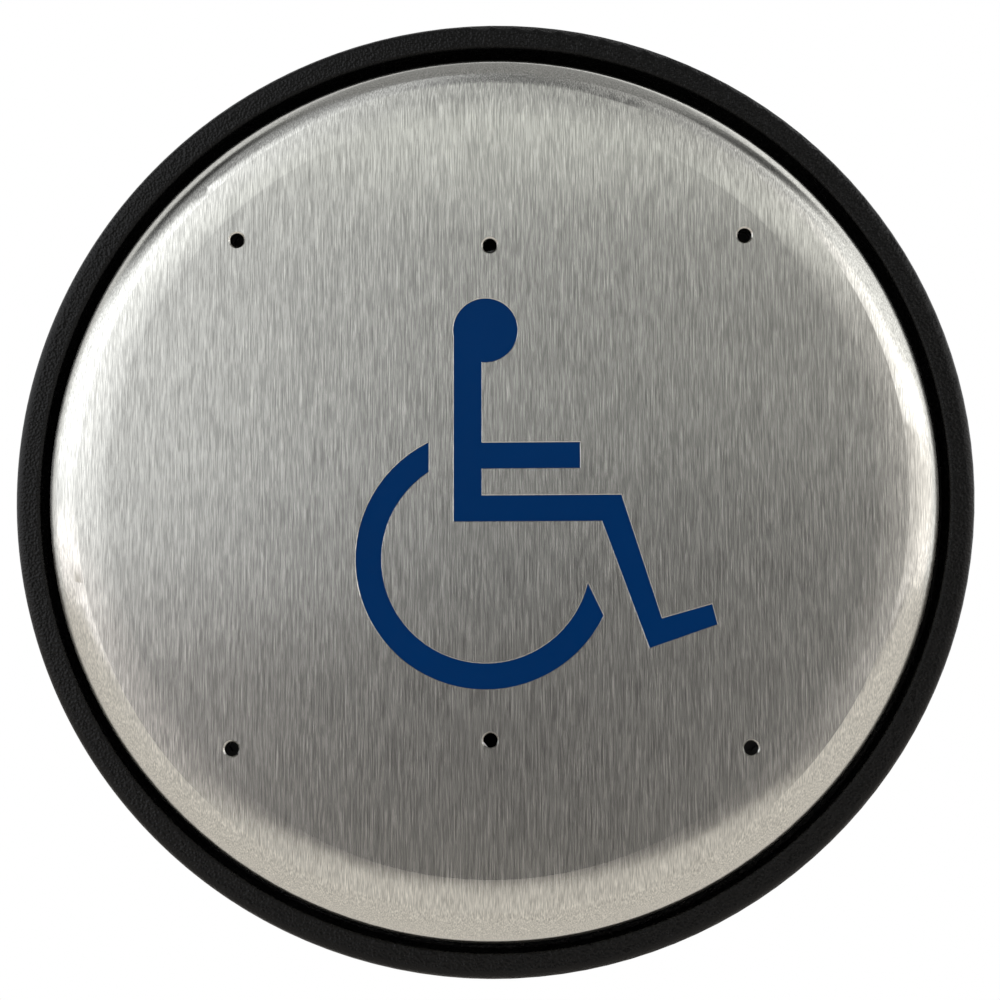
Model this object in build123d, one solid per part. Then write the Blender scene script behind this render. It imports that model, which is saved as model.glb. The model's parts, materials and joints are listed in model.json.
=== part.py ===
from build123d import *
from math import cos, radians, sin, sqrt
import os

# Round push plate switch for an automatic door: a stainless face plate on a spring-loaded carrier,
# over a black base with a raised rim, with a snap-action switch that hangs into the wall box.
#
# Every piece is drawn with the wall lying flat: x to the right, y up the wall and z out of it, in
# millimetres. on_wall() then turns it into its own frame: +Z up, the face looking along -Y, and the
# origin in the wall plane, at the middle of the base.

# ---- driving dimensions ----
TRAVEL = 2.5  # how far the face plate moves in

# face plate
PLATE_R = 75.5
FLAT_R = 64.5  # where the flat ends and a slow crown begins
CROWN_R = 65.0
CROWN_DEG = 4.7  # how far the crown turns before the tight roll of the edge
FACE_Z = 19.0
SHEET = 1.6
SKIRT_Z = 8.5
SAG = 0.6  # how low the plate hangs on its shoulder screws, by the play that lets it rock
ACCESS_HOLE_R = 1.2
ACCESS_CHAMFER = 0.25
RECESS = 0.4
RECESS_CHAMFER = 0.1
ENAMEL = 0.2

# fixings
CORNER = 43.0  # shoulder screws, at the four corners of a square
GANG_Y = 83.34 / 2  # screws of an electrical wall box, 3-9/32 in apart
GANG_X = 46.04 / 2  # and 1-13/16 in from one gang to the next
STUD_X = 44.0
STUD_Y = 14.0
PAD = 28.0
FIT = 0.05  # radial gap between a piece and what it slides or turns in

# base
RIM_R = 82.0
RIM_INNER_R = 77.6
RIM_Z = 11.5
RIM_OUTER_ROUND = 1.4
RIM_INNER_ROUND = 0.6
FLOOR = 3.0
WINDOW_X = 56.0
WINDOW_Y = 40.0
POCKET_Z = 1.6
POCKET_R = 6.2
BOSS_R = 4.5
BOSS_Z = 5.0
RIB_Z = 4.5
RIB_T = 1.6
SIDE_RIBS_DEG = (-30, 0, 30, 150, 180, 210)
SIDE_RIB_START = 34.0
END_RIBS_DEG = (76, 104, 256, 284)
END_RIB_START = 52.0
DRIP_RING_Z = 7.0
DRIP_RING_R = (71.2, 72.6)
GROOVE_R = (70.0, 74.5)
GROOVE = 1.5
BOX_SCREW_HOLE_R = 2.2
SLOT_LENGTH = 8.0

# carrier
CARRIER_SIDE = 106.0
CARRIER_T = 2.0
CARRIER_Z = 9.6  # its underside, at rest
CARRIER_TOP = CARRIER_Z + CARRIER_T
CARRIER_CORNER = 14.0
CARRIER_WINDOW = (22.0, 42.0)
CARRIER_WINDOW_X = 23.0
INNER_Z = FACE_Z - SHEET

# shoulder screws, bushes and springs
SHOULDER_R = 2.5
BUSH_R = 4.1
FLANGE_R = 5.2
FLANGE_T = 0.8
HEAD_Z = CARRIER_TOP + FLANGE_T
HEAD_R = 4.3
HEAD_T = 2.1
KEY_FLATS = 2.0
SCREW_R = 1.75
INSERT_R = 2.8
INSERT_Z = 1.0
SPRING_R = 5.2
SPRING_WIRE_R = 0.35
SPRING_TURNS = 5

# studs, nuts and screws of M3 and M4 size
M3_R = 1.5
M3_CLEAR_R = 1.65
M3_FLATS = 5.5
M3_NUT = 2.4
M3_WASHER_R = 3.5
M3_WASHER = 0.5
STUD_END_Z = 6.2
SLEEVE_R = 3.25
M4_R = 2.0
M4_FLATS = 7.0
M4_THIN_NUT = 2.2
NUT_CHAMFER = 0.3
M3_HEAD_R = 2.75
M3_HEAD = 1.9
DRIVER_SLOT = 0.7

# snap-action switch: its case, and the hinge line of its lever
CASE_X = (-20.4, 7.4)
CASE_Y = (-5.15, 5.15)
CASE_Z = (-13.3, 2.6)
CASE_WALL = 1.2
COVER_T = 1.2
SWITCH_HOLES = ((-17.6, -10.5), (4.6, -0.2))  # x and z
SWITCH_BOSS_R = 2.7
BRACKET_T = 1.5
BRACKET_END_Y = -36.0
BRACKET_SCREWS = ((-14.0, -30.0), (1.0, -30.0))
PIVOT = (-18.0, 3.8)  # x and z
PIN_R = 0.6
LEVER_T = 0.4
LEVER_WIDTH = (-2.2, 2.2)
LEVER_TIP = 2.0
LEVER_TIP_DEG = 12.0
LEVER_LENGTH = 23.0
LEVER_REST_DEG = 8.5
LEVER_PRESSED_DEG = 0.5
PLUNGER_X = -12.0
PLUNGER_R = 1.2
PLUNGER_COLLAR = 1.4
PLUNGER_COLLAR_R = 1.8
PLUNGER_STEM_R = 0.7
PLUNGER_GAP = 0.8  # how far the stem travels before it meets the contact blade
BLADE_PIVOT = (-14.5, -5.0)
BLADE_END_X = 2.4
BLADE_T = 0.3
BLADE_SWING_DEG = 2.2
CONTACT_X = 1.0
CONTACT_R = 1.2
CONTACT_T = 0.6
BLADE_GAP_ARM = CONTACT_X + CONTACT_R - BLADE_PIVOT[0]
TAB_Z = -20.3
STRIP_T = 0.8
STRIP_WIDTH = (-2.4, 2.4)
STRIP_ARM_T = 0.5
NO_STRIP_X = -3.0  # the normally open terminal
NC_STRIP_X = 5.5  # the normally closed terminal
BLADE_WIDTH = (-1.8, 1.8)
AXLE_R = 0.5  # what the contact blade turns on
RIVET_R = 0.6
CONTACT_CLEAR = 0.03

# accessibility symbol on the face: a seated figure drawn from straight bars, a disc and a ring
SYMBOL_HEAD = (-0.75, 27.1)
SYMBOL_HEAD_R = 5.45
SYMBOL_FIGURE = (
    (-6.1, 27.1),
    (-6.1, -5.25),
    (18.7, -5.25),
    (26.45, -26.5),
    (37.7, -22.6),
    (36.85, -19.25),
    (28.5, -21.6),
    (21.95, -0.9),
    (-1.4, -0.9),
    (-1.4, 27.1),
)
SYMBOL_ARM = ((-1.4, 3.65), (15.1, 8.0))
SYMBOL_WHEEL = (-0.72, -11.47)
SYMBOL_WHEEL_R = (17.5, 21.8)
SYMBOL_WHEEL_GAP = (
    (-10.3, 30.0),
    (-10.3, -5.0),
    (14.5, -11.9),
    (21.5, -26.7),
    (45.0, -26.7),
    (45.0, 30.0),
)

CORNERS = [(x, y) for x in (-CORNER, CORNER) for y in (-CORNER, CORNER)]
MIDDLES = [(0, -GANG_Y), (0, GANG_Y)]
STUDS = [(x, y) for x in (-STUD_X, STUD_X) for y in (-STUD_Y, STUD_Y)]
PADS = [(x, y) for x in (-PAD, PAD) for y in (-PAD, PAD)]


# ---- shapes used again and again ----
def disc(radius, low, high, x=0.0, y=0.0):
    """A cylinder along z between two heights."""
    return Pos(x, y, (low + high) / 2) * Cylinder(radius, high - low)


def tube(outer, inner, low, high, x=0.0, y=0.0):
    return disc(outer, low, high, x, y) - disc(inner, low - 1, high + 1, x, y)


def block(x_range, y_range, z_range):
    size = [high - low for low, high in (x_range, y_range, z_range)]
    middle = [(high + low) / 2 for low, high in (x_range, y_range, z_range)]
    return Pos(*middle) * Box(*size)


def across(radius, y_low, y_high, x, z):
    """A cylinder along y, such as a hinge pin."""
    return Pos(x, (y_low + y_high) / 2, z) * Rot(X=90) * Cylinder(radius, y_high - y_low)


def hexagon(flats, low, high, x=0.0, y=0.0):
    outline = RegularPolygon(flats / sqrt(3), 6)
    return Pos(x, y, low) * extrude(outline, high - low)


def hex_nut(flats, bore, low, high, x=0.0, y=0.0):
    """A nut with its corners turned off at both ends."""
    blank = disc(flats / sqrt(3), low, high, x, y)
    blank = chamfer(blank.edges().filter_by(GeomType.CIRCLE), NUT_CHAMFER)
    return (hexagon(flats, low, high, x, y) & blank) - disc(bore, low - 1, high + 1, x, y)


def slab(length, width, corner, low, high, x=0.0, y=0.0):
    """A plate with rounded corners."""
    return Pos(x, y, low) * extrude(RectangleRounded(length, width, corner), high - low)


def turned(outline):
    """Turns an outline of (radius, height) edges round the z axis."""
    return revolve(Plane.XZ * make_face(outline), Axis.Z, 360)


def rounded_top(solid, radius):
    return fillet(solid.edges().group_by(Axis.Z)[-1], radius)


def group(solids):
    return Compound(list(solids))


# ---- symbol ----
def symbol():
    """The flat outline of the symbol."""
    figure = make_face(Polyline(*SYMBOL_FIGURE, close=True))
    (x0, y0), (x1, y1) = SYMBOL_ARM
    arm = Pos((x0 + x1) / 2, (y0 + y1) / 2) * Rectangle(x1 - x0, y1 - y0)
    head = Pos(*SYMBOL_HEAD) * Circle(SYMBOL_HEAD_R)
    inner, outer = SYMBOL_WHEEL_R
    band = Pos(*SYMBOL_WHEEL) * (Circle(outer) - Circle(inner))
    wheel = band - make_face(Polyline(*SYMBOL_WHEEL_GAP, close=True))
    return (figure + arm + head) + wheel


# ---- push plate ----
def face_shell():
    """The pressed disc: flat, then slowly crowned, then rolled over into a short straight skirt."""
    lean = radians(CROWN_DEG)
    crown_end = FLAT_R + CROWN_R * sin(lean)
    roll_r = (PLATE_R - crown_end) / (1 - sin(lean))
    roll_z = FACE_Z - CROWN_R + (CROWN_R - roll_r) * cos(lean)
    crown = (FLAT_R, FACE_Z - CROWN_R)
    roll = (PLATE_R - roll_r, roll_z)
    bottom_inner = (PLATE_R - SHEET, SKIRT_Z)
    bottom_outer = (PLATE_R, SKIRT_Z)
    outline = [
        Line((0, INNER_Z), (FLAT_R, INNER_Z)),
        CenterArc(crown, CROWN_R - SHEET, 90 - CROWN_DEG, CROWN_DEG),
        CenterArc(roll, roll_r - SHEET, 0, 90 - CROWN_DEG),
        Line((PLATE_R - SHEET, roll_z), bottom_inner),
        Line(bottom_inner, bottom_outer),
        Line(bottom_outer, (PLATE_R, roll_z)),
        CenterArc(roll, roll_r, 0, 90 - CROWN_DEG),
        CenterArc(crown, CROWN_R, 90 - CROWN_DEG, CROWN_DEG),
        Line((FLAT_R, FACE_Z), (0, FACE_Z)),
        Line((0, FACE_Z), (0, INNER_Z)),
    ]
    return turned(outline)


def access_hole(x, y):
    """A small hole with a broken edge, for a hex key."""
    top_r = ACCESS_HOLE_R + ACCESS_CHAMFER
    bevel = Pos(x, y, FACE_Z - ACCESS_CHAMFER / 2) * Cone(ACCESS_HOLE_R, top_r, ACCESS_CHAMFER)
    return disc(ACCESS_HOLE_R, INNER_Z - 1, FACE_Z + 1, x, y) + bevel


def face_plate():
    plate = face_shell()
    for x, y in CORNERS + MIDDLES:
        plate -= access_hole(x, y)
    recess = Pos(0, 0, FACE_Z - RECESS) * extrude(symbol(), RECESS)
    plate -= recess
    mouth = [
        edge
        for edge in plate.edges().group_by(Axis.Z)[-1]
        if max(abs(edge.center().X), abs(edge.center().Y)) < GANG_Y - 2 * ACCESS_HOLE_R
        and edge.length < FLAT_R * 2
    ]
    return chamfer(mouth, RECESS_CHAMFER)


def symbol_inlay():
    return Pos(0, 0, FACE_Z - RECESS) * extrude(symbol(), ENAMEL)


def weld_stud(x, y):
    stud = disc(M3_R, STUD_END_Z, INNER_Z, x, y)
    stud = chamfer(stud.edges().group_by(Axis.Z)[0], 0.4)
    return stud + disc(2.1, INNER_Z - 0.6, INNER_Z, x, y)


def spacer_sleeve(x, y):
    sleeve = tube(SLEEVE_R, M3_CLEAR_R, CARRIER_TOP, INNER_Z, x, y)
    return sleeve - disc(2.2, INNER_Z - 0.7, INNER_Z + 1, x, y)


def carrier_plate():
    carrier = slab(CARRIER_SIDE, CARRIER_SIDE, CARRIER_CORNER, CARRIER_Z, CARRIER_TOP)
    for x, y in CORNERS:
        carrier -= disc(BUSH_R, CARRIER_Z - 1, CARRIER_TOP + 1, x, y)
    for x, y in STUDS:
        carrier -= disc(M3_CLEAR_R, CARRIER_Z - 1, CARRIER_TOP + 1, x, y)
    for x, y in MIDDLES:
        carrier -= disc(4.5, CARRIER_Z - 1, CARRIER_TOP + 1, x, y)
    for x in (-CARRIER_WINDOW_X, CARRIER_WINDOW_X):
        carrier -= slab(*CARRIER_WINDOW, 5, CARRIER_Z - 1, CARRIER_TOP + 1, x)
    return carrier - disc(M4_R, CARRIER_Z - 1, CARRIER_TOP + 1)


def carrier_washer(x, y):
    return tube(M3_WASHER_R, M3_CLEAR_R, CARRIER_Z - M3_WASHER, CARRIER_Z, x, y)


def carrier_nut(x, y):
    top = CARRIER_Z - M3_WASHER
    return hex_nut(M3_FLATS, M3_R, top - M3_NUT, top, x, y)


def guide_bush(x, y):
    bush = disc(BUSH_R, CARRIER_Z - 0.6, CARRIER_TOP, x, y)
    bush += disc(FLANGE_R, CARRIER_TOP, HEAD_Z, x, y)
    return bush - disc(SHOULDER_R + SAG + FIT, CARRIER_Z - 2, HEAD_Z + 1, x, y)


def height_on_lever(x, stand_off, lever_deg):
    """The height of a point at x that stands off the middle of the lever by a distance across it."""
    tilt = radians(lever_deg)
    return PIVOT[1] + (stand_off + (x - PIVOT[0]) * sin(tilt)) / cos(tilt)


def striker_tip_z():
    """The height of the striker's tip: its round end just clears the lever at rest."""
    return height_on_lever(0, M4_R + LEVER_T / 2 + FIT, LEVER_REST_DEG) - M4_R


def striker_screw():
    tip = striker_tip_z()
    top = CARRIER_TOP + M4_THIN_NUT + 1.2
    screw = disc(M4_R, tip + M4_R, top) + Pos(0, 0, tip + M4_R) * Sphere(M4_R)
    return screw - block((-3, 3), (-0.4, 0.4), (top - 1, top + 1))


def striker_locknut():
    return hex_nut(M4_FLATS, M4_R, CARRIER_TOP, CARRIER_TOP + M4_THIN_NUT)


# ---- base ----
def rib(angle, start):
    """A low radial rib from the middle of the floor to the drip ring."""
    length = DRIP_RING_R[0] + 0.5 - start
    bar = Pos(start + length / 2, 0, (FLOOR + RIB_Z) / 2) * Box(length, RIB_T, RIB_Z - FLOOR)
    return Rot(Z=angle) * bar


def rim():
    """The raised ring: a straight wall with a well rounded outer edge."""
    wall = tube(RIM_R, RIM_INNER_R, 0, RIM_Z)
    top = wall.edges().group_by(Axis.Z)[-1].sort_by(SortBy.RADIUS)
    wall = fillet(top[-1], RIM_OUTER_ROUND)
    inner = wall.edges().filter_by(GeomType.CIRCLE).group_by(Axis.Z)[-1].sort_by(SortBy.RADIUS)
    return fillet(inner[0], RIM_INNER_ROUND)


def box_screw_slot(x, y):
    slot = Pos(x, y, -1) * extrude(SlotOverall(SLOT_LENGTH, 2 * BOX_SCREW_HOLE_R), FLOOR + 2)
    sink = Pos(x, y, FLOOR - 1) * extrude(SlotOverall(SLOT_LENGTH + 4, 2 * BOX_SCREW_HOLE_R + 4), 3)
    return slot + sink


def base_moulding():
    base = disc(RIM_R - 1, 0, FLOOR) + rim()
    base += tube(DRIP_RING_R[1], DRIP_RING_R[0], FLOOR, DRIP_RING_Z)
    for angle in SIDE_RIBS_DEG:
        base += rib(angle, SIDE_RIB_START)
    for angle in END_RIBS_DEG:
        base += rib(angle, END_RIB_START)
    for x, y in CORNERS:
        base -= tube(POCKET_R, BOSS_R, POCKET_Z, FLOOR + 4, x, y)
        base += disc(BOSS_R, FLOOR - 1, BOSS_Z, x, y)
        base -= disc(INSERT_R, INSERT_Z, BOSS_Z + 1, x, y)
    base -= slab(WINDOW_X, WINDOW_Y, 5, -1, FLOOR + 4)
    for x, y in BRACKET_SCREWS:
        base += disc(3.6, -4, 1, x, y)
        base -= disc(M3_R, -3, FLOOR + 1, x, y)
    for x, y in MIDDLES:
        base -= disc(BOX_SCREW_HOLE_R, -1, FLOOR + 1, x, y)
        base -= disc(BOX_SCREW_HOLE_R + 2, FLOOR - 1, FLOOR + 4, x, y)
    for x in (-GANG_X, GANG_X):
        for y in (-GANG_Y, GANG_Y):
            base -= box_screw_slot(x, y)
    return base - tube(GROOVE_R[1], GROOVE_R[0], -1, GROOVE)


def wall_gasket():
    return tube(GROOVE_R[1], GROOVE_R[0], 0, GROOVE)


def threaded_insert(x, y):
    return tube(INSERT_R, SCREW_R, INSERT_Z, BOSS_Z, x, y)


def shoulder_screw(x, y):
    head = rounded_top(disc(HEAD_R, HEAD_Z, HEAD_Z + HEAD_T, x, y), 1.5)
    head -= hexagon(KEY_FLATS, HEAD_Z + HEAD_T - 1.3, HEAD_Z + HEAD_T + 1, x, y)
    shank = disc(SHOULDER_R, BOSS_Z, HEAD_Z, x, y)
    thread = chamfer(disc(SCREW_R, INSERT_Z + 0.4, BOSS_Z, x, y).edges().group_by(Axis.Z)[0], 0.4)
    return head + shank + thread


def return_spring(x, y):
    low = POCKET_Z + SPRING_WIRE_R
    height = CARRIER_Z - SPRING_WIRE_R - low
    path = Helix(height / SPRING_TURNS, height, SPRING_R)
    wire = Plane(path @ 0, z_dir=path % 0) * Circle(SPRING_WIRE_R)
    return Pos(x, y, low) * sweep(wire, path=path, is_frenet=True)


def stop_pad(x, y):
    """A rubber stop that the carrier meets at the end of its travel."""
    top = CARRIER_Z - TRAVEL - FIT
    return rounded_top(disc(4.5, FLOOR, top, x, y), 1.2)


def switch_bracket():
    """A foot on the floor, and a tab bent down through the window beside the switch."""
    foot = block(CASE_X, (BRACKET_END_Y, CASE_Y[0]), (FLOOR, FLOOR + BRACKET_T))
    tab = block(CASE_X, (CASE_Y[0] - BRACKET_T, CASE_Y[0]), (CASE_Z[0], FLOOR + BRACKET_T))
    bracket = foot + tab
    bend = bracket.edges().filter_by(Axis.X).group_by(Axis.Z)[-1].sort_by(Axis.Y)[-1]
    bracket = fillet(bend, BRACKET_T - 0.1)
    for x, y in BRACKET_SCREWS:
        bracket -= disc(M3_CLEAR_R, FLOOR - 1, FLOOR + 3, x, y)
    for x, z in SWITCH_HOLES:
        bracket -= across(M3_CLEAR_R, CASE_Y[0] - 3, CASE_Y[0] + 1, x, z)
    return bracket


def bracket_screw(x, y):
    low = FLOOR + BRACKET_T
    half = DRIVER_SLOT / 2
    depth = (low + M3_HEAD - 0.8, low + M3_HEAD + 1)
    head = rounded_top(disc(M3_HEAD_R, low, low + M3_HEAD, x, y), 1.0)
    slot = block((x - 2, x + 2), (y - half, y + half), depth)
    cross = block((x - half, x + half), (y - 2, y + 2), depth)
    recess = (slot + cross) & disc(1.6, *depth, x, y)
    return head - recess + disc(M3_R, -2.6, low, x, y)


# ---- switch ----
def case_inside():
    x_range = (CASE_X[0] + CASE_WALL, CASE_X[1] - CASE_WALL)
    y_range = (CASE_Y[0] + CASE_WALL, CASE_Y[1] - COVER_T)
    z_range = (CASE_Z[0] + CASE_WALL, CASE_Z[1] - 1.4)
    return x_range, y_range, z_range


def strip(x, z_high):
    """A terminal strip that stands in the case and comes out of its floor as a tab."""
    half = STRIP_T / 2
    return block((x - half, x + half), STRIP_WIDTH, (TAB_Z, z_high))


def tab_hole(x):
    """The small cross hole near a tab's end."""
    return Pos(x, 0, TAB_Z + 2.2) * Rot(Y=90) * Cylinder(0.8, 3)


def switch_case():
    x_range, y_range, z_range = case_inside()
    joint_y = CASE_Y[1] - COVER_T
    case = block(CASE_X, (CASE_Y[0], joint_y), CASE_Z)
    case -= block(x_range, (y_range[0], joint_y + 1), z_range)
    for x, z in SWITCH_HOLES:
        case += across(SWITCH_BOSS_R, CASE_Y[0], joint_y, x, z) & block(CASE_X, CASE_Y, CASE_Z)
    for y in ((-3.9, -2.4), (2.4, 3.9)):
        case += block((PIVOT[0] - 1.6, PIVOT[0] + 1.6), y, (CASE_Z[1], PIVOT[1]))
        case += across(1.6, y[0], y[1], PIVOT[0], PIVOT[1])
    case -= across(PIN_R, -6, 6, *PIVOT)
    case -= disc(PLUNGER_R + FIT, z_range[1] - 1, CASE_Z[1] + 1, PLUNGER_X)
    for x in (BLADE_PIVOT[0], NO_STRIP_X, NC_STRIP_X):
        case -= strip(x, z_range[0] + 1)
    for x, z in SWITCH_HOLES:
        case -= across(M3_R + FIT, CASE_Y[0] - 1, CASE_Y[1] + 1, x, z)
    return case


def switch_cover():
    cover = block(CASE_X, (CASE_Y[1] - COVER_T, CASE_Y[1]), CASE_Z)
    for x, z in SWITCH_HOLES:
        cover -= across(M3_R + FIT, 0, CASE_Y[1] + 1, x, z)
    return chamfer(cover.edges().group_by(Axis.Y)[-1], 0.3)


def switch_screw(x, z):
    half = DRIVER_SLOT / 2
    front = CASE_Y[1]
    end = CASE_Y[0] - BRACKET_T - M3_NUT - 0.6
    head = across(M3_HEAD_R, front, front + M3_HEAD, x, z)
    head = fillet(head.edges().group_by(Axis.Y)[-1], 0.9)
    head -= block((x - 3, x + 3), (front + M3_HEAD - 0.9, front + M3_HEAD + 1), (z - half, z + half))
    return head + across(M3_R, end, front, x, z)


def switch_nut(x, z):
    nut = hex_nut(M3_FLATS, M3_R, 0, M3_NUT)
    return Pos(x, CASE_Y[0] - BRACKET_T, z) * Rot(X=90) * nut


def terminal_common():
    """The common strip: its head is the pin that the contact blade turns on."""
    x, z = BLADE_PIVOT
    return strip(x, z) + across(AXLE_R, *STRIP_WIDTH, x, z) - tab_hole(x)


def contact_gap_z():
    """The heights of the two fixed contacts' faces, above and below the moving contact."""
    upper = BLADE_PIVOT[1] + BLADE_T / 2 + CONTACT_T
    swing = BLADE_GAP_ARM * sin(radians(BLADE_SWING_DEG))
    lower = BLADE_PIVOT[1] - BLADE_T / 2 - CONTACT_T - swing
    return lower - CONTACT_CLEAR, upper + CONTACT_CLEAR


def terminal_normally_open():
    face = contact_gap_z()[0] - CONTACT_T
    arm = block((NO_STRIP_X, CONTACT_X + CONTACT_R), STRIP_WIDTH, (face - STRIP_ARM_T, face))
    return strip(NO_STRIP_X, face) + arm - tab_hole(NO_STRIP_X)


def terminal_normally_closed():
    face = contact_gap_z()[1] + CONTACT_T
    arm = block((CONTACT_X - CONTACT_R, NC_STRIP_X), STRIP_WIDTH, (face, face + STRIP_ARM_T))
    return strip(NC_STRIP_X, face + STRIP_ARM_T) + arm - tab_hole(NC_STRIP_X)


def fixed_contacts():
    lower, upper = contact_gap_z()
    return group([
        disc(CONTACT_R, lower - CONTACT_T, lower, CONTACT_X),
        disc(CONTACT_R, upper, upper + CONTACT_T, CONTACT_X),
    ])


def contact_blade():
    x, z = BLADE_PIVOT
    half = BLADE_T / 2
    eye = across(AXLE_R + FIT + 0.4, *BLADE_WIDTH, x, z)
    blade = block((x, BLADE_END_X), BLADE_WIDTH, (z - half, z + half))
    blade = (eye + blade) - across(AXLE_R + FIT, -3, 3, x, z)
    below = block((x - 2, x + 2), (-3, 3), (z - 2, z - half))
    return blade - below - disc(RIVET_R, z - 1, z + 1, CONTACT_X)


def moving_contact():
    z = BLADE_PIVOT[1]
    half = BLADE_T / 2
    heads = disc(CONTACT_R, z + half, z + half + CONTACT_T, CONTACT_X)
    heads += disc(CONTACT_R, z - half - CONTACT_T, z - half, CONTACT_X)
    return heads + disc(RIVET_R, z - half, z + half, CONTACT_X)


def snap_spring():
    """A bowed leaf between the common strip and the blade."""
    start = (BLADE_PIVOT[0] + STRIP_T / 2 + 0.12, -7.6)
    end = (-4.4, BLADE_PIVOT[1] - BLADE_T / 2 - 0.1)
    bow = ThreePointArc(start, (-9.4, -8.3), end)
    leaf = make_face(offset(bow, 0.1, side=Side.BOTH))
    return Pos(0, 0.9, 0) * extrude(Plane.XZ * leaf, 1.8)


def plunger_centre_z(lever_deg):
    """The middle of the plunger's round end, which just clears the underside of the lever."""
    return height_on_lever(PLUNGER_X, -(PLUNGER_R + LEVER_T / 2 + FIT), lever_deg)


def switch_plunger():
    centre = plunger_centre_z(LEVER_REST_DEG)
    collar_top = case_inside()[2][1] - 0.1
    stem_end = BLADE_PIVOT[1] + BLADE_T / 2 + PLUNGER_GAP
    collar_low = collar_top - PLUNGER_COLLAR
    rod = disc(PLUNGER_R, collar_low, centre, PLUNGER_X)
    rod += Pos(PLUNGER_X, 0, centre) * Sphere(PLUNGER_R)
    collar = disc(PLUNGER_COLLAR_R, collar_low, collar_top, PLUNGER_X)
    return rod + collar + disc(PLUNGER_STEM_R, stem_end, collar_low, PLUNGER_X)


def switch_lever():
    """A spring steel lever with a rolled eye round its pin and a turned-up end."""
    thickness = (-LEVER_T / 2, LEVER_T / 2)
    straight = LEVER_LENGTH - LEVER_TIP
    eye = across(PIN_R + FIT + LEVER_T, *LEVER_WIDTH, 0, 0)
    arm = block((0, straight), LEVER_WIDTH, thickness)
    tip = block((-0.05, LEVER_TIP), LEVER_WIDTH, thickness)
    tip = Pos(straight, 0, 0) * Rot(Y=LEVER_TIP_DEG) * tip
    lever = eye + arm + tip - across(PIN_R + FIT, -4, 4, 0, 0)
    return Pos(PIVOT[0], 0, PIVOT[1]) * Rot(Y=-LEVER_REST_DEG) * lever


def lever_pin():
    return across(PIN_R, -3.9, 3.9, *PIVOT)


# ---- output ----
def at_each(places, make):
    return group(make(x, y) for x, y in places)


def hung(piece):
    """Lowers a piece of the push plate to where the plate hangs."""
    return Pos(0, -SAG, 0) * piece


NODES = {
    "face_plate": lambda: hung(face_plate()),
    "symbol_inlay": lambda: hung(symbol_inlay()),
    "weld_studs": lambda: hung(at_each(STUDS, weld_stud)),
    "spacer_sleeves": lambda: hung(at_each(STUDS, spacer_sleeve)),
    "carrier_plate": lambda: hung(carrier_plate()),
    "carrier_washers": lambda: hung(at_each(STUDS, carrier_washer)),
    "carrier_nuts": lambda: hung(at_each(STUDS, carrier_nut)),
    "guide_bushes": lambda: hung(at_each(CORNERS, guide_bush)),
    "striker_screw": lambda: hung(striker_screw()),
    "striker_locknut": lambda: hung(striker_locknut()),
    "base_moulding": base_moulding,
    "wall_gasket": wall_gasket,
    "threaded_inserts": lambda: at_each(CORNERS, threaded_insert),
    "shoulder_screws": lambda: at_each(CORNERS, shoulder_screw),
    "return_springs": lambda: at_each(CORNERS, return_spring),
    "stop_pads": lambda: at_each(PADS, stop_pad),
    "switch_bracket": switch_bracket,
    "bracket_screws": lambda: at_each(BRACKET_SCREWS, bracket_screw),
    "switch_case": switch_case,
    "switch_cover": switch_cover,
    "switch_screws": lambda: at_each(SWITCH_HOLES, switch_screw),
    "switch_nuts": lambda: at_each(SWITCH_HOLES, switch_nut),
    "terminal_common": terminal_common,
    "terminal_normally_open": terminal_normally_open,
    "terminal_normally_closed": terminal_normally_closed,
    "fixed_contacts": fixed_contacts,
    "contact_blade": contact_blade,
    "moving_contact": moving_contact,
    "snap_spring": snap_spring,
    "switch_plunger": switch_plunger,
    "switch_lever": switch_lever,
    "lever_pin": lever_pin,
}


def on_wall(shape):
    """From the drawing position, flat on its back, to upright on the wall."""
    return Rot(X=90) * shape


def print_motion():
    """How far the switch's pieces move for the face plate's full travel."""
    plunger = plunger_centre_z(LEVER_REST_DEG) - plunger_centre_z(LEVER_PRESSED_DEG)
    print("lever turns, degrees:", LEVER_REST_DEG - LEVER_PRESSED_DEG)
    print("plunger moves, mm:", round(plunger, 4))
    print("contact blade turns, degrees:", BLADE_SWING_DEG)
    print("contact gap, mm:", round(BLADE_GAP_ARM * sin(radians(BLADE_SWING_DEG)), 3))


def main():
    os.makedirs("parts", exist_ok=True)
    for name, make in NODES.items():
        export_step(on_wall(make()), os.path.join("parts", name + ".step"))
    print_motion()


main()
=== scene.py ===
import json
from math import cos, pi, radians, sin

import bpy
from mathutils import Matrix, Vector


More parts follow.
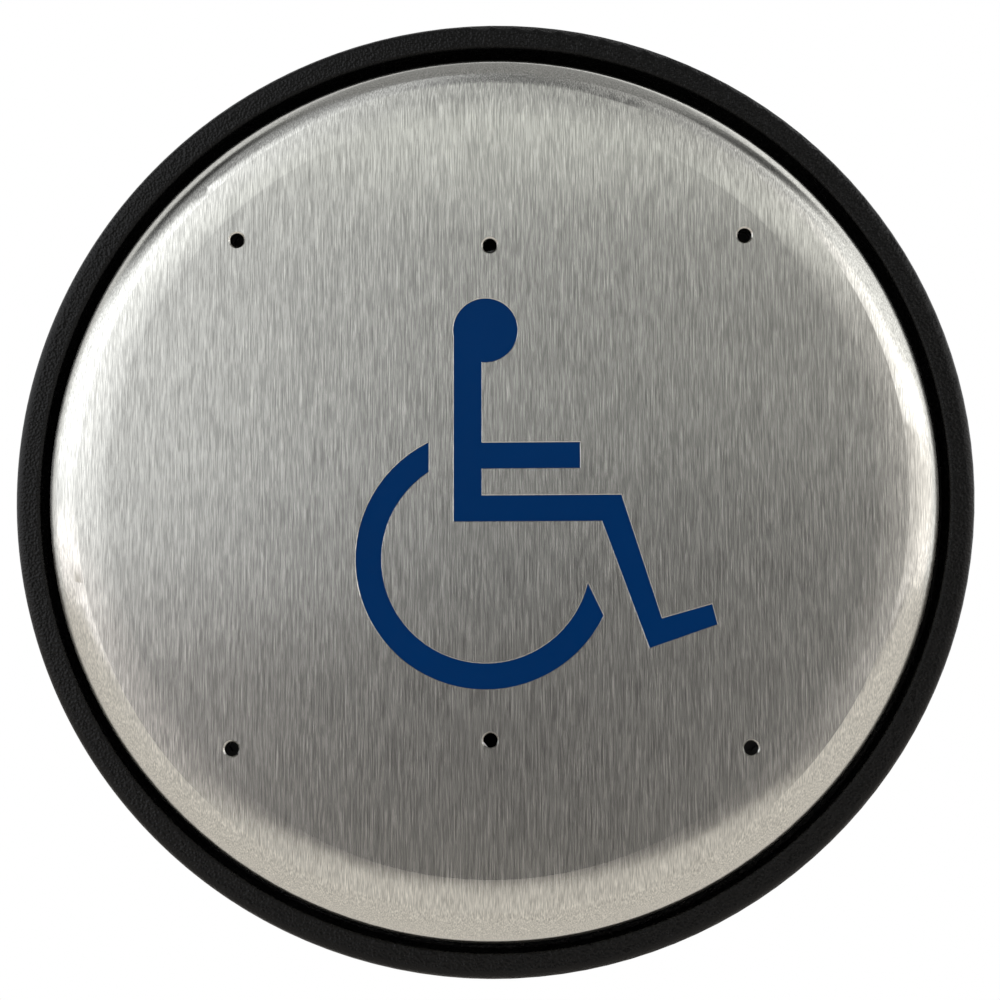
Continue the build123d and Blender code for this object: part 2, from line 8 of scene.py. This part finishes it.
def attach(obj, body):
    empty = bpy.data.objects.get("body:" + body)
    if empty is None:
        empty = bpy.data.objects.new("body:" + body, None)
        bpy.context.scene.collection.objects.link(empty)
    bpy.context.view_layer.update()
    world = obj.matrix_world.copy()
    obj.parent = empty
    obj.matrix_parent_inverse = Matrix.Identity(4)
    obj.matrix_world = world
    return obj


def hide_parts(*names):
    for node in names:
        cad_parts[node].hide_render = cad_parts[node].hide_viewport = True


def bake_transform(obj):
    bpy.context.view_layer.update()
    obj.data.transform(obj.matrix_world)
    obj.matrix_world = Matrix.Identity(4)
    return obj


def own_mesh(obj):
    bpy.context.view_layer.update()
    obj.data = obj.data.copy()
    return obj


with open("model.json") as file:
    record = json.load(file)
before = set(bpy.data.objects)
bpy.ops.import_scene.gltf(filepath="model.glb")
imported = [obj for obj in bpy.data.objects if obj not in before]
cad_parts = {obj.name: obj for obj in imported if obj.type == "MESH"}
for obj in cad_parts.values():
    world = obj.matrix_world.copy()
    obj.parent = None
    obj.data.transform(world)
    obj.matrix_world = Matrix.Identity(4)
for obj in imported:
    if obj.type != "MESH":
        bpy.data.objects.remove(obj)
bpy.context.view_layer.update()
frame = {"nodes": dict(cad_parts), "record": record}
NODES = frame["nodes"]

# Round push plate switch for an automatic door. The world is in metres, with +Z up the wall and the
# face looking along -Y.
MM = 0.001

# ---- camera ----
CAMERA_PLACE = (15.54 * MM, -400.09 * MM, -42.68 * MM)
CAMERA_TILT = radians(6.035)  # up
CAMERA_PAN = radians(2.107)
CAMERA_ROLL = radians(-0.33)
LENS = 82.58
SENSOR = 36.0

# Straight steps in one turn of a circle.
CIRCLE_STEPS = 48


def add(tree, kind, inputs=None, **settings):
    """A new shader node. An input is given as a value or as the socket that feeds it."""
    node = tree.nodes.new(kind)
    for key, value in settings.items():
        setattr(node, key, value)
    for key, value in (inputs or {}).items():
        if isinstance(value, bpy.types.NodeSocket):
            tree.links.new(value, node.inputs[key])
        else:
            node.inputs[key].default_value = value
    return node


def maths(tree, operation, first, second=0.0, clamp=False):
    node = add(tree, "ShaderNodeMath", {0: first, 1: second}, operation=operation, use_clamp=clamp)
    return node.outputs[0]


def remap(tree, value, low, high, to_low=0.0, to_high=1.0, smooth=False):
    node = add(
        tree,
        "ShaderNodeMapRange",
        {"Value": value, "From Min": low, "From Max": high, "To Min": to_low, "To Max": to_high},
        interpolation_type="SMOOTHSTEP" if smooth else "LINEAR",
    )
    return node.outputs["Result"]


# ---- materials ----
class Finish:
    """One node material: a Principled shader and the textures that feed it."""

    def __init__(self, name, colour, roughness, metallic=0.0):
        self.material = bpy.data.materials.new(name)
        self.material.use_nodes = True
        self.tree = self.material.node_tree
        self.shader = self.tree.nodes["Principled BSDF"]
        self.set("Base Color", (*colour, 1.0))
        self.set("Roughness", roughness)
        self.set("Metallic", metallic)
        self.material.diffuse_color = (*colour, 1.0)

    def set(self, socket, value):
        self.shader.inputs[socket].default_value = value

    def feed(self, socket, source):
        self.tree.links.new(source, self.shader.inputs[socket])

    def coords(self, cells_per_mm):
        """Object coordinates, scaled so that one unit is one cell of a texture."""
        source = add(self.tree, "ShaderNodeTexCoord").outputs["Object"]
        scale = [1000.0 * number for number in cells_per_mm]
        node = add(self.tree, "ShaderNodeMapping", {"Vector": source, "Scale": scale})
        return node.outputs["Vector"]

    def noise(self, cells_per_mm, detail=2.0, rough=0.5, contrast=1.0):
        """Noise between 0 and 1, with its cells' size along x, y and z."""
        inputs = {
            "Vector": self.coords(cells_per_mm),
            "Scale": 1.0,
            "Detail": detail,
            "Roughness": rough,
        }
        value = add(self.tree, "ShaderNodeTexNoise", inputs).outputs["Fac"]
        if contrast == 1.0:
            return value
        reach = 0.5 / contrast
        return remap(self.tree, value, 0.5 - reach, 0.5 + reach)

    def cells(self, cells_per_mm, feature="F1"):
        node = add(
            self.tree,
            "ShaderNodeTexVoronoi",
            {"Vector": self.coords(cells_per_mm), "Scale": 1.0},
            feature=feature,
        )
        return node.outputs["Distance"]

    def tint(self, factor, amount):
        """Multiplies the base colour by 1 - amount to 1 + amount as factor goes from 0 to 1."""
        level = remap(self.tree, factor, 0.0, 1.0, 1.0 - amount, 1.0 + amount)
        socket = self.shader.inputs["Base Color"]
        before = socket.links[0].from_socket if socket.links else tuple(socket.default_value)[:3]
        node = add(
            self.tree,
            "ShaderNodeVectorMath",
            {0: before, "Scale": level},
            operation="SCALE",
        )
        self.tree.links.new(node.outputs["Vector"], socket)

    def uneven(self, factor, low, high):
        """Roughness from low to high as factor goes from 0 to 1."""
        self.feed("Roughness", remap(self.tree, factor, 0.0, 1.0, low, high))

    def bump(self, height, depth_mm, strength=1.0):
        normal = self.shader.inputs["Normal"]
        inputs = {"Height": height, "Distance": depth_mm * MM, "Strength": strength}
        if normal.links:
            inputs["Normal"] = normal.links[0].from_socket
        self.feed("Normal", add(self.tree, "ShaderNodeBump", inputs).outputs["Normal"])

    def soft_edges(self, radius_mm):
        """Shades sharp edges as if they were broken by this radius."""
        node = add(self.tree, "ShaderNodeBevel", {"Radius": radius_mm * MM}, samples=4)
        self.feed("Normal", node.outputs["Normal"])

    def grain_along(self, x, y, z):
        """The direction across the brush lines, for the anisotropic highlight."""
        node = add(self.tree, "ShaderNodeCombineXYZ", {"X": x, "Y": y, "Z": z})
        self.feed("Tangent", node.outputs["Vector"])


def brushed_stainless():
    """Sheet brushed up and down: short fine streaks, with a few long ones."""
    steel = Finish("brushed_stainless", (0.60, 0.595, 0.555), 0.20, 1.0)
    steel.set("Anisotropic", 0.9)
    steel.grain_along(1.0, 0.0, 0.0)
    fine = steel.noise((7.5, 7.5, 0.4), detail=1.5, contrast=2.8)
    long = steel.noise((7.0, 7.0, 0.1), detail=2.0, contrast=2.4)
    cloud = steel.noise((0.02, 0.02, 0.012), detail=3.0)
    steel.tint(fine, 0.27)
    steel.tint(long, 0.19)
    steel.tint(cloud, 0.02)
    steel.uneven(long, 0.18, 0.22)
    steel.bump(fine, 0.002, 0.5)
    return steel


def blue_enamel():
    """Fired paint in the recess, with a faint orange peel."""
    paint = Finish("blue_enamel", (0.0, 0.026, 0.115), 0.3)
    paint.set("Specular IOR Level", 0.1)
    paint.tint(paint.noise((0.08, 0.08, 0.08), detail=2.0), 0.08)
    paint.uneven(paint.noise((1.2, 1.2, 1.2)), 0.16, 0.30)
    paint.bump(paint.noise((0.9, 0.9, 0.9)), 0.01, 0.5)
    return paint


def stainless():
    steel = Finish("stainless", (0.58, 0.58, 0.57), 0.2, 1.0)
    steel.tint(steel.noise((0.5, 0.5, 0.5), detail=4.0), 0.06)
    steel.uneven(steel.noise((4.0, 4.0, 4.0), detail=3.0), 0.12, 0.30)
    steel.bump(steel.noise((6.0, 6.0, 6.0)), 0.003)
    return steel


def black_oxide():
    """Blackened screws: dark, with an oily sheen."""
    steel = Finish("black_oxide", (0.012, 0.012, 0.013), 0.42)
    steel.soft_edges(0.12)
    steel.tint(steel.noise((1.0, 1.0, 1.0), detail=3.0), 0.25)
    steel.uneven(steel.noise((4.0, 4.0, 4.0), detail=2.0), 0.34, 0.52)
    steel.bump(steel.noise((7.0, 7.0, 7.0)), 0.003)
    return steel


def zinc_steel():
    """Bright zinc plate over rolled sheet: slightly cloudy, with fine scratches."""
    zinc = Finish("zinc_steel", (0.56, 0.58, 0.61), 0.3, 1.0)
    cloud = zinc.noise((0.12, 0.12, 0.12), detail=5.0, rough=0.6)
    zinc.tint(cloud, 0.12)
    zinc.uneven(zinc.noise((0.8, 8.0, 0.8), detail=4.0), 0.22, 0.42)
    zinc.bump(zinc.noise((5.0, 5.0, 5.0), detail=3.0), 0.006)
    return zinc


def white_acetal():
    plastic = Finish("white_acetal", (0.78, 0.77, 0.73), 0.38)
    plastic.set("Subsurface Weight", 0.15)
    plastic.set("Subsurface Scale", 0.5 * MM)
    plastic.tint(plastic.noise((0.3, 0.3, 0.3)), 0.03)
    plastic.uneven(plastic.noise((2.0, 2.0, 2.0)), 0.32, 0.46)
    plastic.bump(plastic.noise((6.0, 6.0, 6.0)), 0.004)
    return plastic


def black_abs():
    """Black moulding with a fine pebble texture."""
    plastic = Finish("black_abs", (0.002, 0.002, 0.002), 0.26)
    plastic.set("Specular IOR Level", 0.2)
    plastic.soft_edges(0.5)
    pebble = plastic.cells((2.4, 2.4, 2.4), feature="SMOOTH_F1")
    plastic.tint(plastic.noise((0.05, 0.05, 0.05), detail=3.0), 0.15)
    plastic.uneven(plastic.noise((1.5, 1.5, 1.5), detail=3.0), 0.24, 0.32)
    plastic.bump(pebble, 0.12, 0.8)
    return plastic


def foam_rubber():
    foam = Finish("foam_rubber", (0.02, 0.02, 0.021), 0.9)
    pores = foam.cells((2.5, 2.5, 2.5))
    # The pores are darkest at their sunk middles: painted shade in the pits.
    foam.tint(pores, 0.5)
    foam.uneven(pores, 0.75, 1.0)
    foam.bump(pores, 0.15, 0.8)
    return foam


def brass():
    metal = Finish("brass", (0.72, 0.50, 0.20), 0.28, 1.0)
    metal.tint(metal.noise((0.4, 0.4, 0.4), detail=4.0), 0.12)
    metal.uneven(metal.noise((2.0, 6.0, 2.0), detail=3.0), 0.2, 0.4)
    metal.bump(metal.noise((5.0, 5.0, 5.0)), 0.004)
    return metal


def spring_steel():
    steel = Finish("spring_steel", (0.36, 0.36, 0.37), 0.3, 1.0)
    steel.tint(steel.noise((1.0, 1.0, 1.0), detail=3.0), 0.15)
    steel.uneven(steel.noise((3.0, 3.0, 3.0), detail=2.0), 0.22, 0.4)
    steel.bump(steel.noise((8.0, 8.0, 8.0)), 0.003)
    return steel


def black_rubber():
    rubber = Finish("black_rubber", (0.018, 0.018, 0.018), 0.75)
    rubber.tint(rubber.noise((0.6, 0.6, 0.6), detail=3.0), 0.3)
    rubber.uneven(rubber.noise((2.0, 2.0, 2.0)), 0.65, 0.88)
    rubber.bump(rubber.noise((5.0, 5.0, 5.0), detail=3.0), 0.02)
    return rubber


def phenolic():
    """Filled black moulding, slightly mottled."""
    plastic = Finish("phenolic", (0.022, 0.018, 0.015), 0.4)
    plastic.tint(plastic.noise((1.2, 1.2, 1.2), detail=5.0, rough=0.7, contrast=1.6), 0.35)
    plastic.uneven(plastic.noise((3.0, 3.0, 3.0)), 0.32, 0.5)
    plastic.bump(plastic.noise((4.0, 4.0, 4.0), detail=3.0), 0.008)
    return plastic


def switch_plastic():
    plastic = Finish("switch_plastic", (0.03, 0.026, 0.022), 0.34)
    plastic.tint(plastic.noise((0.8, 0.8, 0.8), detail=4.0), 0.25)
    plastic.uneven(plastic.noise((2.5, 2.5, 2.5)), 0.26, 0.42)
    plastic.bump(plastic.noise((5.0, 5.0, 5.0)), 0.005)
    return plastic


def silver():
    metal = Finish("silver", (0.84, 0.83, 0.80), 0.22, 1.0)
    metal.tint(metal.noise((1.5, 1.5, 1.5), detail=3.0), 0.1)
    metal.uneven(metal.noise((4.0, 4.0, 4.0)), 0.15, 0.32)
    metal.bump(metal.noise((8.0, 8.0, 8.0)), 0.003)
    return metal


def copper_alloy():
    metal = Finish("copper_alloy", (0.70, 0.38, 0.22), 0.28, 1.0)
    metal.tint(metal.noise((0.5, 4.0, 4.0), detail=3.0), 0.12)
    metal.uneven(metal.noise((1.0, 8.0, 8.0)), 0.2, 0.38)
    metal.bump(metal.noise((6.0, 6.0, 6.0)), 0.003)
    return metal


def red_plastic():
    plastic = Finish("red_plastic", (0.42, 0.015, 0.01), 0.34)
    plastic.tint(plastic.noise((1.0, 1.0, 1.0), detail=3.0), 0.08)
    plastic.uneven(plastic.noise((3.0, 3.0, 3.0)), 0.28, 0.42)
    plastic.bump(plastic.noise((6.0, 6.0, 6.0)), 0.004)
    return plastic


FINISHES = {
    make.__name__: make().material
    for make in (
        brushed_stainless,
        blue_enamel,
        stainless,
        black_oxide,
        zinc_steel,
        white_acetal,
        black_abs,
        foam_rubber,
        brass,
        spring_steel,
        black_rubber,
        phenolic,
        switch_plastic,
        silver,
        copper_alloy,
        red_plastic,
    )
}


def paint_nodes():
    """Each CAD node takes the finish that the record names for it."""
    for part in frame["record"]["subparts"]:
        for place in NODES[part["node"]].material_slots:
            place.material = FINISHES[part["material_slot"]]


# ---- pieces that bend or flatten in use, drawn fixed in place of their CAD nodes ----
CORNER = 43 * MM  # the shoulder screws stand at the corners of a square
SPRING_PLACES = [(x, z) for x in (-CORNER, CORNER) for z in (-CORNER, CORNER)]
SPRING_R = 5.2 * MM
WIRE_R = 0.35 * MM
SPRING_FOOT = -1.6 * MM  # the floor of its pocket, along Y
SPRING_TOP = -9.6 * MM  # the back of the carrier
SPRING_LENGTH = abs(SPRING_TOP - SPRING_FOOT)
SPRING_TURNS = 6
WIRE_SIDES = 12


def coil_height(turn):
    """The share of the coil's height at a turn: the first and last turns lie closed."""
    closed = 2 * WIRE_R / (SPRING_LENGTH - 2 * WIRE_R)
    open_turns = SPRING_TURNS - 2
    if turn < 1:
        return closed * turn
    if turn > SPRING_TURNS - 1:
        return 1 - closed * (SPRING_TURNS - turn)
    return closed + (1 - 2 * closed) * (turn - 1) / open_turns


def coil_mesh(centre_x, centre_z):
    """Round wire wound into a compression spring that stands out from the base."""
    foot = SPRING_FOOT - WIRE_R
    reach = SPRING_TOP + WIRE_R - foot
    path = []
    for step in range(SPRING_TURNS * CIRCLE_STEPS + 1):
        turn = step / CIRCLE_STEPS
        around = 2 * pi * turn
        out = Vector((cos(around), 0.0, sin(around)))
        centre = Vector((centre_x, foot + reach * coil_height(turn), centre_z))
        path.append((centre + SPRING_R * out, out))
    points = []
    for centre, out in path:
        for side in range(WIRE_SIDES):
            round_wire = 2 * pi * side / WIRE_SIDES
            offset = cos(round_wire) * out + sin(round_wire) * Vector((0.0, 1.0, 0.0))
            points.append(centre + WIRE_R * offset)
    faces = []
    for ring in range(len(path) - 1):
        first = ring * WIRE_SIDES
        for side in range(WIRE_SIDES):
            after = (side + 1) % WIRE_SIDES
            faces.append(
                (first + side, first + after, first + WIRE_SIDES + after, first + WIRE_SIDES + side)
            )
    last = (len(path) - 1) * WIRE_SIDES
    faces.append(tuple(reversed(range(WIRE_SIDES))))
    faces.append(tuple(last + side for side in range(WIRE_SIDES)))
    mesh = bpy.data.meshes.new("return_spring")
    mesh.from_pydata(points, [], faces)
    mesh.polygons.foreach_set("use_smooth", [len(face) == 4 for face in faces])
    return mesh


def make_springs():
    """Four coils of one length, attached to the base; on the real switch they shorten as the plate
    is pressed.
    """
    springs = []
    for number, place in enumerate(SPRING_PLACES):
        spring = bpy.data.objects.new(f"return_coil_{number}", coil_mesh(*place))
        bpy.context.scene.collection.objects.link(spring)
        spring.data.materials.append(FINISHES["spring_steel"])
        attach(spring, "base")
        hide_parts("return_springs")
        springs.append(spring)
    for spring in springs:
        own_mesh(spring)


def make_snap_leaf():
    """The bowed leaf, copied from its CAD node in spring steel; on the real switch its far end
    follows the contact blade.
    """
    node = NODES["snap_spring"]
    leaf = bpy.data.objects.new("snap_leaf", node.data.copy())
    leaf.matrix_world = node.matrix_world
    bpy.context.scene.collection.objects.link(leaf)
    leaf.data.materials.clear()
    leaf.data.materials.append(FINISHES["spring_steel"])
    corners = [node.matrix_world @ Vector(corner) for corner in node.bound_box]
    ends = [pick(corner.x for corner in corners) for pick in (min, max)]
    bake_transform(leaf)
    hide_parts("snap_spring")


# ---- studio ----
FLOOR_X = (-2.6, 2.6)
FLOOR_Y = (-2.45, 1.0)
FLOOR_Z = -300 * MM

# The two middle holes in the face, over the screws of the wall box.
BOX_HOLES = ((0.0, 41.67 * MM), (0.0, -41.67 * MM))
SHADOW_R = 2.1 * MM
SHADOW_Y = -0.3 * MM


def make_floor():
    mesh = bpy.data.meshes.new("floor")
    corners = [(x, y, FLOOR_Z) for y in FLOOR_Y for x in FLOOR_X]
    mesh.from_pydata(corners, [], [(0, 1, 3, 2)])
    floor = bpy.data.objects.new("floor", mesh)
    bpy.context.scene.collection.objects.link(floor)
    finish = Finish("pale_floor", (0.98, 0.92, 0.85), 0.6)
    mesh.materials.append(finish.material)


def make_box_shadow():
    """Dark discs in the base's two middle screw holes, where the wall box would be: painted shade
    for the dark inside of the box.
    """
    shadow = Finish("box_shadow", (0.001, 0.001, 0.001), 1.0)
    shadow.set("Specular IOR Level", 0.0)
    circle = [2 * pi * step / CIRCLE_STEPS for step in range(CIRCLE_STEPS)]
    for centre_x, centre_z in BOX_HOLES:
        mesh = bpy.data.meshes.new("box_shadow")
        points = [
            (centre_x + SHADOW_R * cos(around), SHADOW_Y, centre_z + SHADOW_R * sin(around))
            for around in circle
        ]
        mesh.from_pydata(points, [], [tuple(range(CIRCLE_STEPS))])
        mesh.materials.append(shadow.material)
        disc = bpy.data.objects.new("box_shadow", mesh)
        bpy.context.scene.collection.objects.link(disc)


# Tints of the light.
PLAIN = (1.0, 1.0, 1.0)
COOL = (0.985, 1.0, 1.03)
WARM = (1.04, 1.0, 0.97)
ROSE = (1.06, 1.0, 1.0)
GREEN = (0.97, 1.0, 0.94)

# Light panels round the object, as seen from it: azimuth from straight in front towards +X, and
# elevation, both in degrees from edge to edge, then how soft those edges are across and up, in
# degrees, then strength and tint. Straight in front, where the camera stands, it is nearly dark.
PANELS = {
    "left_edge": ((-20, -12), (3.5, 60), (6, 3), 1.8, COOL),
    "left_key": ((-65, -20), (3.5, 32), (10, 14), 2.1, COOL),
    "left_high": ((-65, -20), (32, 60), (10, 14), 0.45, COOL),
    "left_side": ((-100, -65), (3.5, 34), (14, 16), 1.9, COOL),
    "left_low": ((-100, -16), (-8, 3.5), (8, 3), 1.0, ROSE),
    "left_low_side": ((-100, -28), (-8, 3.5), (8, 3), 0.5, COOL),
    "front": ((-5, 9), (7, 14), (8, 3), 0.18, GREEN),
    "right_edge": ((13, 26), (-3, 22), (6, 4), 0.75, WARM),
    "right_key": ((26, 55), (-3, 30), (8, 6), 1.0, WARM),
    "right_side": ((55, 100), (-8, 22), (10, 6), 1.4, WARM),
    "right_high": ((12, 40), (14, 60), (8, 4), 0.65, PLAIN),
    "right_high_side": ((40, 100), (14, 46), (12, 8), 1.3, PLAIN),
    "right_low": ((9, 100), (-8, 0), (5, 3), 0.25, ROSE),
    "top_edge": ((-14, 14), (14.3, 16.5), (8, 1.5), 0.45, GREEN),
    "top": ((-12, 12), (14.3, 20), (8, 1.5), 0.32, GREEN),
    "top_high": ((-12, 12), (20, 36), (8, 5), 0.28, GREEN),
    "overhead": ((-181, 181), (60, 91), (1, 10), 0.34, PLAIN),
    "behind_left": ((-181, -100), (-6, 60), (1, 6), 0.9, PLAIN),
    "behind_right": ((100, 181), (-6, 60), (1, 6), 1.2, PLAIN),
}


def window(tree, value, edges, softness):
    """1 between two edges and 0 outside them, with a smooth step at each."""
    half = softness / 2
    rise = remap(tree, value, edges[0] - half, edges[0] + half, smooth=True)
    fall = remap(tree, value, edges[1] - half, edges[1] + half, 1.0, 0.0, smooth=True)
    return maths(tree, "MULTIPLY", rise, fall)


def make_world():
    """Light panels all round, and plain white paper behind the object."""
    world = bpy.data.worlds.new("studio")
    bpy.context.scene.world = world
    world.use_nodes = True
    tree = world.node_tree
    tree.nodes.clear()
    direction = add(tree, "ShaderNodeTexCoord").outputs["Generated"]
    axes = add(tree, "ShaderNodeSeparateXYZ", {0: direction}).outputs
    forward = maths(tree, "MULTIPLY", axes["Y"], -1.0)
    azimuth = maths(tree, "MULTIPLY", maths(tree, "ARCTAN2", axes["X"], forward), 180 / pi)
    elevation = maths(tree, "MULTIPLY", maths(tree, "ARCSINE", axes["Z"]), 180 / pi)
    light = (0.0, 0.0, 0.0)
    for across, up, softness, strength, tint in PANELS.values():
        shape = maths(
            tree,
            "MULTIPLY",
            window(tree, azimuth, across, softness[0]),
            window(tree, elevation, up, softness[1]),
        )
        colour = [strength * share for share in tint]
        panel = add(tree, "ShaderNodeVectorMath", {0: colour, "Scale": shape}, operation="SCALE")
        inputs = {0: panel.outputs["Vector"], 1: light}
        light = add(tree, "ShaderNodeVectorMath", inputs, operation="ADD").outputs["Vector"]
    studio = add(tree, "ShaderNodeBackground", {"Color": light, "Strength": 1.0})
    paper = add(tree, "ShaderNodeBackground", {"Color": (1, 1, 1, 1), "Strength": 1.0})
    seen = add(tree, "ShaderNodeLightPath").outputs["Is Camera Ray"]
    mixed = add(
        tree,
        "ShaderNodeMixShader",
        {0: seen, 1: studio.outputs[0], 2: paper.outputs[0]},
    )
    add(tree, "ShaderNodeOutputWorld", {"Surface": mixed.outputs[0]})


def make_camera():
    data = bpy.data.cameras.new("camera")
    data.lens = LENS
    data.sensor_width = SENSOR
    data.clip_start = 0.01
    camera = bpy.data.objects.new("camera", data)
    bpy.context.scene.collection.objects.link(camera)
    turn = (
        Matrix.Rotation(radians(90), 4, "X")
        @ Matrix.Rotation(CAMERA_ROLL, 4, "Z")
        @ Matrix.Rotation(CAMERA_TILT, 4, "X")
        @ Matrix.Rotation(CAMERA_PAN, 4, "Y")
    )
    camera.matrix_world = Matrix.Translation(CAMERA_PLACE) @ turn
    bpy.context.scene.camera = camera


paint_nodes()
make_springs()
make_snap_leaf()
make_floor()
make_box_shadow()
make_world()
make_camera()
bpy.context.scene.view_settings.view_transform = "Standard"
bpy.context.scene.view_settings.look = "None"
